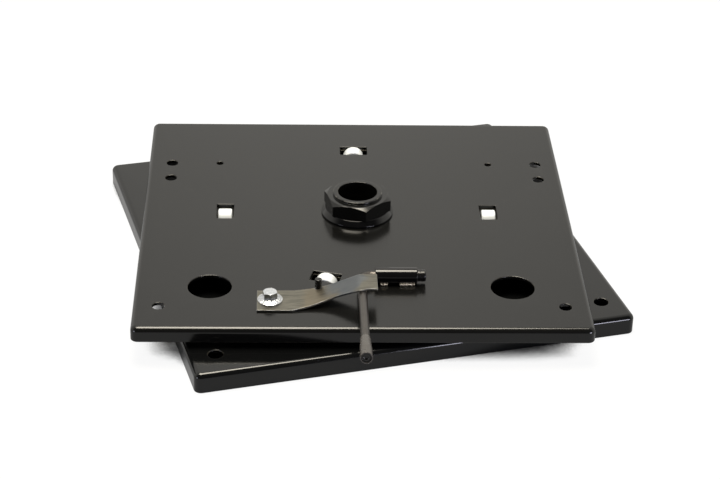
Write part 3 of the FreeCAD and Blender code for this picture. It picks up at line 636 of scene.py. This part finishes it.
# %% Make the pivot's tube and ring
UPPER_TOP = 19.0
TUBE_TOP = 40.8
tube = turned("pivot_tube_wall", [
    (18.4, -7.0, 0.3), (23.0, -7.0, 0.3), (23.0, TUBE_TOP, 0.9), (18.4, TUBE_TOP, 0.5)])
dress("pivot_tube_wall", tube, oxide_black, "lower_frame", "pivot_steel", "pivot_tube")
ring = turned("slip_ring_gloss", [
    (23.02, UPPER_TOP + 0.1, 0.2), (33.6, UPPER_TOP + 0.1, 0.6), (33.6, UPPER_TOP + 1.9, 0.7),
    (30.5, UPPER_TOP + 6.5, 0.7), (23.02, UPPER_TOP + 6.5, 0.2)])
dress("slip_ring_gloss", ring, slip_black, "lower_frame", "slip_nylon", "slip_ring")

# %% [markdown]
# ## The thread on the pivot tube and on the bolt
# A thread is a rule: one ridge that climbs at a steady pitch. Geometry Nodes draw it as a
# spiral with a small triangle swept along it. The same tree serves both threads with
# different numbers.
# %% Build the thread tree
def geometry_tree(name, inputs):
    """A Geometry Nodes tree with named number inputs and one mesh output."""
    tree = bpy.data.node_groups.new(name, "GeometryNodeTree")
    tree.interface.new_socket("Geometry", in_out="INPUT", socket_type="NodeSocketGeometry")
    for label, value in inputs.items():
        kind = "NodeSocketInt" if isinstance(value, int) else "NodeSocketFloat"
        tree.interface.new_socket(label, in_out="INPUT", socket_type=kind).default_value = value
    tree.interface.new_socket("Material", in_out="INPUT", socket_type="NodeSocketMaterial")
    tree.interface.new_socket("Geometry", in_out="OUTPUT", socket_type="NodeSocketGeometry")
    return tree, tree.nodes.new("NodeGroupInput").outputs


def end_tree(tree, geometry, material):
    """Real geometry and its material come last, so that the export keeps them."""
    real = put(tree, "GeometryNodeRealizeInstances", {0: geometry})
    painted_mesh = put(tree, "GeometryNodeSetMaterial", {"Geometry": result(real), "Material": material})
    put(tree, "NodeGroupOutput", {0: result(painted_mesh)})


def grown(tree, name, values, material):
    """Runs a tree with these values on an empty mesh and returns the plain mesh that it makes."""
    holder = bpy.data.objects.new(name, bpy.data.meshes.new(name))
    bpy.context.scene.collection.objects.link(holder)
    modifier = holder.modifiers.new("tree", "NODES")
    modifier.node_group = tree
    sockets = {item.name: item.identifier for item in tree.interface.items_tree
               if item.item_type == "SOCKET" and item.in_out == "INPUT"}
    for label, value in values.items():
        modifier[sockets[label]] = value
    modifier[sockets["Material"]] = material
    return evaluated_mesh(holder)


thread, given = geometry_tree("thread", {"Radius": 0.01, "Pitch": 0.0015, "Turns": 4.0, "Depth": 0.0005})
rise = times(thread, given["Pitch"], given["Turns"])
spiral = put(thread, "GeometryNodeCurveSpiral", {
    "Resolution": 64, "Rotations": given["Turns"], "Start Radius": given["Radius"],
    "End Radius": given["Radius"], "Height": rise})
ridge = put(thread, "GeometryNodeCurvePrimitiveCircle", {"Resolution": 6, "Radius": given["Depth"]})
swept = put(thread, "GeometryNodeCurveToMesh", {
    "Curve": result(spiral), "Profile Curve": result(ridge), "Fill Caps": True})
smooth = put(thread, "GeometryNodeSetShadeSmooth", {"Geometry": result(swept)})
end_tree(thread, result(smooth), given["Material"])

tube_thread = grown(thread, "pivot_tube_thread", {
    "Radius": 22.85 * MM, "Pitch": 1.5 * MM, "Turns": 9.2, "Depth": 0.42 * MM}, oxide_black)
tube_thread.transform(Matrix.Translation((0, 0, 26.0 * MM)))
dress("pivot_tube_thread", tube_thread, oxide_black, "lower_frame", "pivot_steel")

# %% [markdown]
# ## Parts that keep the CAD's shape
# The nut, the bolt and the brackets have the right shape already, but their edges are knife
# sharp. A copy of the node's mesh is merged, its flat faces are joined, and every sharp edge
# is bevelled. The bolt's hexagon is also drawn in to the photograph's width.
# %% Soften the CAD's own shapes
def softened(node, width, name):
    """A copy of a CAD node with its sharp edges rounded over a width in millimetres."""
    maker = bmesh.new()
    maker.from_mesh(nodes[node].data)
    bmesh.ops.remove_doubles(maker, verts=maker.verts, dist=1e-6)
    bmesh.ops.dissolve_limit(maker, angle_limit=math.radians(0.5), verts=maker.verts, edges=maker.edges)
    sharp = [edge for edge in maker.edges if edge.calc_face_angle(0.0) > math.radians(22.0)]
    bmesh.ops.bevel(maker, geom=sharp, offset=width * MM, offset_type="OFFSET", segments=2,
                    profile=0.5, affect="EDGES", clamp_overlap=True)
    return finished_mesh(maker, name, scale=1.0)


FLANGE_EDGE = 22.8  # the bolt's hexagon is above this height
HEAD_NARROWING = 0.78  # the photograph's hexagon is this much of the CAD's
for node, width, material, body, slot in (
        ("pivot_nut", 0.45, oxide_black, "lower_frame", "nut_black"),
        ("spring_bolt", 0.25, bright_zinc, "upper_frame", "zinc"),
        ("spring_weld_nut", 0.3, bright_zinc, "upper_frame", "zinc"),
        ("pivot_flange", 0.5, pivot_paint, "lower_frame", "pivot_steel"),
        ("spacer_collar", 0.4, pivot_paint, "lower_frame", "pivot_steel"),
        ("pin_guide", 0.3, shade_darkened_zinc, "upper_frame", "cradle_zinc")):
    piece = dress(node + "_soft", softened(node, width, node + "_soft"), material, body, slot, node)
    if node == "spring_bolt":
        for vertex in piece.data.vertices:
            if vertex.co.z > FLANGE_EDGE * MM:
                vertex.co.x = BOLT[0] * MM + (vertex.co.x - BOLT[0] * MM) * HEAD_NARROWING
                vertex.co.y = BOLT[1] * MM + (vertex.co.y - BOLT[1] * MM) * HEAD_NARROWING
# The cradles and axles take the nearly black zinc, a painted shade inside the roller windows.
for side in ROLLERS:
    for kind, width, material, slot in (("roller_cradle_", 0.35, shade_darkened_zinc, "cradle_zinc"),
                                        ("roller_axle_", 0.2, shade_darkened_zinc, "zinc")):
        node = kind + side
        dress(node + "_soft", softened(node, width, node + "_soft"), material, "upper_frame", slot, node)
for node, material in (("pivot_bush", white_nylon), ("pivot_tube_weld", pivot_paint),
                       ("pivot_flange_weld", pivot_paint)):
    nodes[node].data.materials.clear()
    nodes[node].data.materials.append(material)

bolt_thread = grown(thread, "spring_bolt_thread", {
    "Radius": 4.9 * MM, "Pitch": 1.5 * MM, "Turns": 0.6, "Depth": 0.3 * MM}, bright_zinc)
bolt_thread.transform(Matrix.Translation((BOLT[0] * MM, BOLT[1] * MM, 7.15 * MM)))
dress("spring_bolt_thread", bolt_thread, bright_zinc, "upper_frame", "zinc")

# %% [markdown]
# ## The rollers
# Four nylon rollers stand a millimetre proud of the upper tray. A roller is a rectangle with
# rounded corners swept round a circle, so a small tree makes it from its sizes, and the four
# copies are laid at their stations, each with its axle pointing away from the pivot.
# %% Build the roller tree
roller_tree, given = geometry_tree("roller", {
    "Diameter": 0.02, "Length": 0.013, "Bore": 0.0062, "Rounding": 0.0014})
wall = times(roller_tree, calc(roller_tree, "SUBTRACT", given["Diameter"], given["Bore"]), 0.5)
path_radius = times(roller_tree, plus(roller_tree, given["Diameter"], given["Bore"]), 0.25)
path = put(roller_tree, "GeometryNodeCurvePrimitiveCircle", {"Resolution": 96, "Radius": path_radius})
section = put(roller_tree, "GeometryNodeCurvePrimitiveQuadrilateral", {
    "Width": wall, "Height": given["Length"]})
corner = put(roller_tree, "GeometryNodeFilletCurve", {
    "Curve": result(section), "Radius": given["Rounding"], "Count": 5}, mode="POLY")
swept = put(roller_tree, "GeometryNodeCurveToMesh", {"Curve": result(path), "Profile Curve": result(corner)})
smooth = put(roller_tree, "GeometryNodeSetShadeSmooth", {"Geometry": result(swept)})
end_tree(roller_tree, result(smooth), given["Material"])

for side, angle in ROLLERS.items():
    mesh = grown(roller_tree, "roller_" + side + "_nylon", {
        "Diameter": 20.0 * MM, "Length": 13.0 * MM, "Bore": 6.16 * MM, "Rounding": 1.4 * MM}, white_nylon)
    station = (Matrix.Rotation(angle, 4, "Z") @ Matrix.Translation((ROLLER_CIRCLE * MM, 0, 10.2 * MM))
               @ Matrix.Rotation(math.pi / 2, 4, "Y"))
    mesh.transform(station)
    dress("roller_" + side + "_nylon", mesh, white_nylon, "roller_" + side, "white_nylon", "roller_" + side)
    lowest = min(v.co.z for v in mesh.vertices)
    highest = max(v.co.z for v in mesh.vertices)
print("a roller reaches from", round(lowest / MM, 2), "to", round(highest / MM, 2), "mm")

# %% [markdown]
# ## The lever
# The lever is one bent bar: a shaft in a barrel, an elbow, and an arm that rises gently to the
# front. A curve with a round bevel makes it, with the elbow's arc drawn point by point. The
# barrel, the cap and the ferrule at the arm's end are turned parts laid along it.
# %% Make the lever
SHAFT = Vector((0.0, -129.0, 26.25))
ELBOW = 10.0
LEAN = math.radians(0.6)
REACH = 170.0
ROD = 8.0
BARREL = 14.5
ARM_TILT = math.radians(7.5)
raised = (Matrix.Translation(SHAFT * MM) @ Matrix.Rotation(-ARM_TILT, 4, "X")
          @ Matrix.Translation(-SHAFT * MM))


def elbow_point(turn):
    return Vector((ELBOW * (1 - math.sin(turn)), SHAFT.y - ELBOW * (1 - math.cos(turn)), SHAFT.z))


def arm_point(distance):
    past = distance - ELBOW
    return elbow_point(math.pi / 2 - LEAN) + Vector((-past * math.sin(LEAN), -past * math.cos(LEAN), 0))


def bar(name, points, diameter):
    """A round bar along a path given in millimetres."""
    curve = bpy.data.curves.new(name, "CURVE")
    curve.dimensions = "3D"
    curve.bevel_depth = diameter / 2 * MM
    curve.bevel_resolution = 10
    curve.use_fill_caps = True
    spline = curve.splines.new("POLY")
    spline.points.add(len(points) - 1)
    for target, point in zip(spline.points, points):
        target.co = (*(Vector(point) * MM), 1.0)
    holder = bpy.data.objects.new(name, curve)
    bpy.context.scene.collection.objects.link(holder)
    mesh = evaluated_mesh(holder)
    mesh.shade_smooth()
    mesh.set_sharp_from_angle(angle=math.radians(50.0))
    return mesh


turn_end = math.pi / 2 - LEAN
path = [Vector((x, SHAFT.y, SHAFT.z)) for x in (55.7, 40.0, 25.0)]
path += [elbow_point(turn_end * i / 16) for i in range(17)]
path += [arm_point(d) for d in (20.0, 40.0, 70.0, 100.0, 130.0, 158.0)]
rod = bar("lever_bar", path, ROD)
rod.transform(raised)
dress("lever_bar", rod, lever_steel, "lever", "lever_steel", "lever_rod")

along_x = Matrix.Rotation(math.pi / 2, 4, "Y")


def on_shaft(x):
    """Lays a turned part along the shaft, its z measured from x."""
    return Matrix.Translation(Vector((x, SHAFT.y, SHAFT.z)) * MM) @ along_x


BARREL_START = 12.0
barrel = turned("lever_barrel_gloss", [
    (4.08, 0.0, 0.2), (BARREL / 2, 0.0, 0.7), (BARREL / 2, 37.5, 0.7), (4.08, 37.5, 0.2)],
    on_shaft(BARREL_START))
dress("lever_barrel_gloss", barrel, barrel_paint, "upper_frame", "barrel_paint", "lever_barrel")
cap = turned("lever_cap_ribbed", [
    (4.02, 0.0, 0.1), (5.3, 0.0, 0.3), (5.3, 2.0, 0.2), (4.9, 2.2, 0.1), (4.9, 2.7, 0.1),
    (5.3, 2.9, 0.2), (5.3, 7.5, 1.5), (0.0, 7.5, 0.0), (0.0, 5.9, 0.0), (4.02, 5.9, 0.1)],
    on_shaft(49.8))
dress("lever_cap_ribbed", cap, black_plastic, "lever", "black_plastic", "lever_end_cap")

along_arm = (raised @ Matrix.Translation(arm_point(0.0) * MM) @ Matrix.Rotation(-LEAN, 4, "Z")
             @ Matrix.Rotation(math.pi / 2, 4, "X"))
socket = turned("handle_ferrule", [
    (4.02, 133.0, 0.05), (4.32, 133.0, 0.1), (5.3, 155.0, 3.0), (5.3, 170.0, 0.35),
    (4.22, 170.0, 0.2), (4.22, 166.4, 0.1), (2.52, 166.4, 0.1), (2.52, 158.0, 0.1),
    (4.02, 158.0, 0.1)], along_arm)
dress("handle_ferrule", socket, ferrule_brown, "lever", "black_plastic", "handle_socket")
dress("lever_end_screw_soft", softened("lever_end_screw", 0.2, "lever_end_screw_soft"), oxide_black,
      "lever", "nut_black", "lever_end_screw")

# %% [markdown]
# ## The weld beads
# A weld bead is a row of overlapping ripples. The tree lays flattened balls along a line, each
# a little different in size, with a fixed seed so that every run gives the same bead.
# %% Build the weld tree
bead_tree, given = geometry_tree("weld_bead", {
    "Length": 0.01, "Spacing": 0.0011, "Radius": 0.0022, "Seed": 3})
end_point = put(bead_tree, "ShaderNodeCombineXYZ", {"X": given["Length"]})
line = put(bead_tree, "GeometryNodeCurvePrimitiveLine", {"End": result(end_point)})
stations = put(bead_tree, "GeometryNodeResampleCurve", {
    "Curve": result(line), "Length": given["Spacing"]}, mode="LENGTH")
ball = put(bead_tree, "GeometryNodeMeshUVSphere", {"Segments": 20, "Rings": 12, "Radius": given["Radius"]})
squeezed = put(bead_tree, "GeometryNodeTransform", {"Geometry": result(ball), "Scale": (0.55, 1.0, 1.0)})
size = put(bead_tree, "FunctionNodeRandomValue", {"Min": (0.86, 0.86, 0.86), "Max": (1.08, 1.08, 1.08),
                                                  "Seed": given["Seed"]}, data_type="FLOAT_VECTOR")
ripples = put(bead_tree, "GeometryNodeInstanceOnPoints", {
    "Points": result(stations), "Instance": result(squeezed), "Scale": result(size)})
smooth = put(bead_tree, "GeometryNodeSetShadeSmooth", {"Geometry": result(ripples)})
end_tree(bead_tree, result(smooth), given["Material"])

beads = bmesh.new()
BEAD_RISE = 2.4
BEAD_SINK = 0.4
bead_aside = math.sqrt(BARREL * BEAD_RISE) - BEAD_SINK
for side in (-1, 1):
    for start, length, seed in ((5.5, 5.0, 3), (22.5, 12.0, 8)):
        bead = grown(bead_tree, "bead", {"Length": length * MM, "Seed": seed + side}, weld_steel)
        bead.transform(Matrix.Translation(Vector(
            (BARREL_START + start, SHAFT.y + side * bead_aside, UPPER_TOP + 1.6)) * MM))
        beads.from_mesh(bead)
        bpy.data.meshes.remove(bead)
bead_mesh = bpy.data.meshes.new("weld_ripples")
beads.to_mesh(bead_mesh)
beads.free()
dress("weld_ripples", bead_mesh, weld_steel, "upper_frame", "weld_steel", "lever_barrel_welds")

# %% [markdown]
# ## The leaf spring
# The strip is flat under its bolt, then climbs a curve and a ramp to a tab over the lever's
# arm. Its plan is triangulated over a grid of inner points, because it has to bend when the
# lever lifts it, and each point is then raised to the height that the strip's section has
# there. The notch at its rear edge leaves the pin room to stay upright meanwhile. The steel
# was blued by heat, so its colour runs from brown-grey to straw and blue.
# %% Make the leaf spring
SPRING = 1.8
SLOPE = math.radians(23.0)
CURVE_START = -66.5
HEEL = -2.0
TAB_BEND = 3.0
NOTCH = 3.0
REAR = PIN[1] + 0.4
ROOT_WIDTH, HEEL_WIDTH = 33.6, 27.6
LEFT_END, RIGHT_END = -92.5, 12.8
CONTACT = 42.9  # from the shaft to where the arm meets the tab
TAB_GAP = 0.1
tab_height = (SHAFT.z - UPPER_TOP + CONTACT * math.tan(ARM_TILT) + ROD / 2 / math.cos(ARM_TILT)
              + TAB_GAP)
ramp_x = HEEL - TAB_BEND * math.sin(SLOPE)
ramp_z = tab_height - TAB_BEND * (1 - math.cos(SLOPE))
bend_radius = ((math.tan(SLOPE) * (ramp_x - CURVE_START) - ramp_z)
               / (math.tan(SLOPE) * math.sin(SLOPE) - (1 - math.cos(SLOPE))))


def strip_height(x, offset):
    """Height of the strip's side above the tray: offset 0 is the underside."""
    radius = bend_radius - offset
    tight = TAB_BEND + offset
    if x <= CURVE_START:
        return offset
    if x <= CURVE_START + radius * math.sin(SLOPE):
        return bend_radius - math.sqrt(radius ** 2 - (x - CURVE_START) ** 2)
    if x >= HEEL:
        return tab_height + offset
    if x >= HEEL - tight * math.sin(SLOPE):
        return tab_height - TAB_BEND + math.sqrt(tight ** 2 - (x - HEEL) ** 2)
    begin = HEEL - tight * math.sin(SLOPE)
    return tab_height - TAB_BEND + tight * math.cos(SLOPE) - (begin - x) * math.tan(SLOPE)


def smooth_through(points, steps=12):
    """A smooth line through points."""
    guarded = [points[0]] + points + [points[-1]]
    line = []
    for a, b, c, d in zip(guarded, guarded[1:], guarded[2:], guarded[3:]):
        for k in range(steps):
            t = k / steps
            line.append(tuple(0.5 * (2 * q + (r - p) * t + (2 * p - 5 * q + 4 * r - s) * t ** 2
                                     + (3 * q - p - 3 * r + s) * t ** 3) for p, q, r, s in zip(a, b, c, d)))
    return line + [points[-1]]


front_line = smooth_through([
    (-61.7, REAR - ROOT_WIDTH), (-45.2, REAR - 28.6), (-23.9, REAR - 23.6), (HEEL, REAR - HEEL_WIDTH)])
tab_line = smooth_through([(HEEL, REAR - HEEL_WIDTH), (5.4, REAR - 24.9), (RIGHT_END, REAR - 25.9)], 6)
outline = [(LEFT_END, REAR), (LEFT_END, REAR - ROOT_WIDTH), (-75.0, REAR - ROOT_WIDTH)]
outline += front_line + tab_line[1:] + [(RIGHT_END, REAR), (PIN[0] + NOTCH, REAR)]
outline += [(PIN[0] + NOTCH * math.cos(a), PIN[1] - NOTCH * math.sin(a))
            for a in (math.pi * i / 12 for i in range(13))]
outline += [(PIN[0] - NOTCH, REAR)]
bolt_hole = round_hole(*BOLT, BOLT_HOLE, 48)(0.0)


def inside(x, y, loop, clear):
    """Whether a point lies within a loop and at least a distance from its corners."""
    if min(math.hypot(x - a, y - b) for a, b in loop) < clear:
        return False
    crossings = 0
    for (x0, y0), (x1, y1) in zip(loop, loop[1:] + loop[:1]):
        if (y0 > y) != (y1 > y) and x < x0 + (y - y0) / (y1 - y0) * (x1 - x0):
            crossings += 1
    return crossings % 2 == 1


def fine(loop, step):
    """The loop with its long sides divided."""
    points = []
    for (x0, y0), (x1, y1) in zip(loop, loop[1:] + loop[:1]):
        parts = max(1, round(math.hypot(x1 - x0, y1 - y0) / step))
        points += [(x0 + (x1 - x0) * i / parts, y0 + (y1 - y0) * i / parts) for i in range(parts)]
    return points


outline = fine(outline, 2.2)
GRID = 2.4
grid = [(LEFT_END + GRID * i, REAR - GRID * j) for i in range(45) for j in range(15)]
grid = [(x, y) for x, y in grid
        if inside(x, y, outline, 1.3) and math.hypot(x - BOLT[0], y - BOLT[1]) > 6.6]
plan = [Vector(p) for p in outline + bolt_hole + grid]
edge_loops = [list(range(len(outline))), list(range(len(outline), len(outline) + len(bolt_hole)))]
_, _, plan_faces, origins, _, _ = delaunay_2d_cdt(plan, [], edge_loops, 2, 1e-6)
maker = bmesh.new()
levels = [[maker.verts.new((p.x, p.y, strip_height(p.x, offset))) for p in plan] for offset in (0.0, SPRING)]
for face in plan_faces:
    corners = [origins[i][0] for i in face]
    maker.faces.new([levels[1][i] for i in corners])
    maker.faces.new([levels[0][i] for i in corners[::-1]])
for loop in edge_loops:
    join_rings(maker, [levels[0][i] for i in loop], [levels[1][i] for i in loop])
bmesh.ops.recalc_face_normals(maker, faces=maker.faces)
border = [edge for edge in maker.edges if edge.calc_face_angle(0.0) > math.radians(60.0)]
bmesh.ops.bevel(maker, geom=border, offset=0.3, offset_type="OFFSET", segments=2, profile=0.5,
                affect="EDGES", clamp_overlap=True)
strip = finished_mesh(maker, "leaf_spring_strip", Matrix.Translation((0, 0, UPPER_TOP * MM)))
print("strip rises to", round(tab_height + SPRING, 2), "mm above the tray, bend", round(bend_radius, 1))

# %% Blue the spring steel
spring_blued, tree, shader = shader_of("spring_blued", 1.0)
grain = placed(tree, drawn_grain, {"Stretch": (70.0, 900.0, 70.0), "Depth": 8e-7})
wear = placed(tree, edge_wear, {"Start": 0.3})["Wear"]
place = put(tree, "ShaderNodeSeparateXYZ", {0: result(put(tree, "ShaderNodeTexCoord"), "Object")})
cloud = placed(tree, sprayed_skin, {"Wave Size": 0.018})["Mottle"]
shifted = plus(tree, result(place, "X"), ramp(tree, cloud, 0.0, 1.0, -0.006, 0.006))
straw = times(tree, ramp(tree, shifted, -0.060, -0.045), ramp(tree, shifted, -0.020, -0.035))
blue = times(tree, ramp(tree, shifted, -0.032, -0.018), ramp(tree, shifted, 0.004, -0.008))
base = blended(tree, grain["Streak"], (0.108, 0.104, 0.088), (0.180, 0.173, 0.148))
base = blended(tree, times(tree, straw, 0.40), base, (0.22, 0.18, 0.12))
base = blended(tree, times(tree, blue, 0.5), base, (0.11, 0.135, 0.175))
base = blended(tree, wear, base, (0.24, 0.245, 0.26))
tree.links.new(base, shader.inputs["Base Color"])
tree.links.new(ramp(tree, grain["Streak"], 0.0, 1.0, 0.36, 0.46), shader.inputs["Roughness"])
raise_surface(tree, shader, grain["Height"])
spring = bpy.data.objects.new("leaf_spring_strip", strip)
bpy.context.scene.collection.objects.link(spring)
strip.materials.clear()
strip.materials.append(spring_blued)
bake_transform(spring)
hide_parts("leaf_spring")

# %% [markdown]
# ## The lock pin
# The pin hangs in the strip's notch by its neck, which is long enough for the strip to tilt
# when it is lifted. The head has two shallow grooves for the fingers.
# %% Make the lock pin
WIDE, NECK, GROOVE = 3.1, 2.0, 2.8
ROOM_BELOW, ROOM_ABOVE = 1.0, 0.15
foot = UPPER_TOP + strip_height(PIN[0] - WIDE, 0.0) - ROOM_BELOW
head = UPPER_TOP + strip_height(PIN[0] + WIDE, 0.0) + SPRING * 1.05 + ROOM_ABOVE
section = [(0.0, 0.1, 0.0), (WIDE, 0.1, 0.5), (WIDE, foot, 0.15), (NECK, foot, 0.1), (NECK, head, 0.1),
           (WIDE, head, 0.3)]
for first, last in ((2.4, 3.4), (5.0, 5.9)):
    section += [(WIDE, head + first, 0.15), (GROOVE, head + first + 0.3, 0.1),
                (GROOVE, head + last - 0.3, 0.1), (WIDE, head + last, 0.15)]
section += [(WIDE, head + 7.6, 0.6), (0.0, head + 7.6, 0.0)]
pin = turned("lock_pin_grooved", section, Matrix.Translation((PIN[0] * MM, PIN[1] * MM, 0.0)), 48)
dress("lock_pin_grooved", pin, pin_black, "latch", "pin_steel", "lock_pin")

# %% [markdown]
# ## The dressed part's size
# The box of the dressed part is printed, in millimetres. The dressed part has to stay
# inside the CAD's box.
# %% Print the size
visual_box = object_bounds()
for name, low, high in zip("XYZ", visual_box[0], visual_box[1]):
    print(name, "from", round(low / MM, 2), "to", round(high / MM, 2), "mm")
